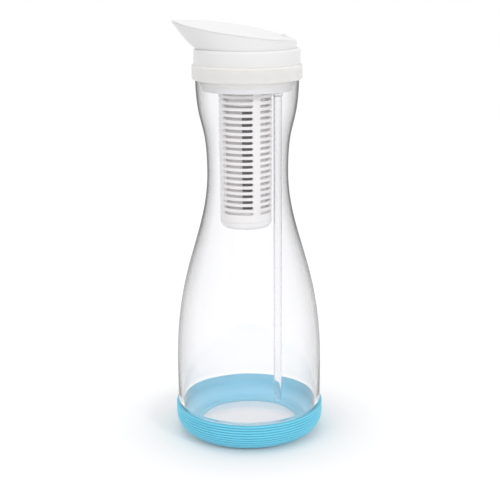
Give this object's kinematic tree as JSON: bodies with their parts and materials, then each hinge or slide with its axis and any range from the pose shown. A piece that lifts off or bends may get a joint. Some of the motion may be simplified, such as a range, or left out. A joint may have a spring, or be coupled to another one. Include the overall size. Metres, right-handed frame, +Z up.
{
  "type": "water filter pitcher",
  "caption": "Clear hourglass water carafe with a push-in lid, hinged flap over a beaked spout, slotted filter cage and air tube under the lid, and a grooved silicone foot sleeve.",
  "frame": {"origin": "centre of the bottom, on the surface that the carafe stands on", "axes": "+Z up along the bottle's axis, the spout points to -X, the flap's hinge runs along Y"},
  "size_m": [0.1008, 0.1008, 0.2785],
  "materials": {
    "clear_glass": "polished",
    "blue_silicone": "satin",
    "frosted_silicone": "frosted",
    "white_plastic": "smooth",
    "milky_plastic": "satin",
    "clear_plastic": "polished",
    "black_carbon": "matte",
    "grey_fleece": "felted",
    "seal_rubber": "matte",
    "steel": "polished"
  },
  "bodies": {
    "carafe": {"bottle": "clear_glass"},
    "sleeve": {"foot_sleeve": "blue_silicone"},
    "lid": {"lid_base": "white_plastic", "mouth_gasket": "frosted_silicone", "outlet_screen": "steel", "spigot_seal": "seal_rubber", "vent_valve": "seal_rubber"},
    "spout": {"spout_housing": "white_plastic", "housing_seal": "seal_rubber", "hinge_pin": "steel"},
    "flap": {"spout_flap": "white_plastic"},
    "filter": {"filter_cage": "milky_plastic"},
    "element": {"cage_cap": "milky_plastic", "element_bottom_cap": "white_plastic", "carbon_block": "black_carbon", "element_wrap": "grey_fleece", "core_tube": "white_plastic", "element_top_cap": "white_plastic", "element_seal": "seal_rubber"},
    "tube": {"air_tube": "clear_plastic"}
  },
  "joints": [
    {"name": "sleeve_pull", "type": "slide", "parent": "carafe", "child": "sleeve", "axis": [0, 0, -1], "range_m": [0, 0.024]},
    {"name": "lid_lift", "type": "slide", "parent": "carafe", "child": "lid", "axis": [0, 0, 1], "range_m": [0, 0.235]},
    {"name": "spout_lift", "type": "slide", "parent": "lid", "child": "spout", "axis": [0, 0, 1], "range_m": [0, 0.01]},
    {"name": "flap_hinge", "type": "hinge", "parent": "spout", "child": "flap", "pos_m": [0.023, 0, 0.26797], "axis": [0, 1, 0], "range_deg": [0, 85]},
    {"name": "filter_pull", "type": "slide", "parent": "lid", "child": "filter", "axis": [0, 0, -1], "range_m": [0, 0.012]},
    {"name": "element_pull", "type": "slide", "parent": "filter", "child": "element", "axis": [0, 0, -1], "range_m": [0, 0.082]},
    {"name": "tube_pull", "type": "slide", "parent": "lid", "child": "tube", "axis": [0, 0, -1], "range_m": [0, 0.009]}
  ]
}
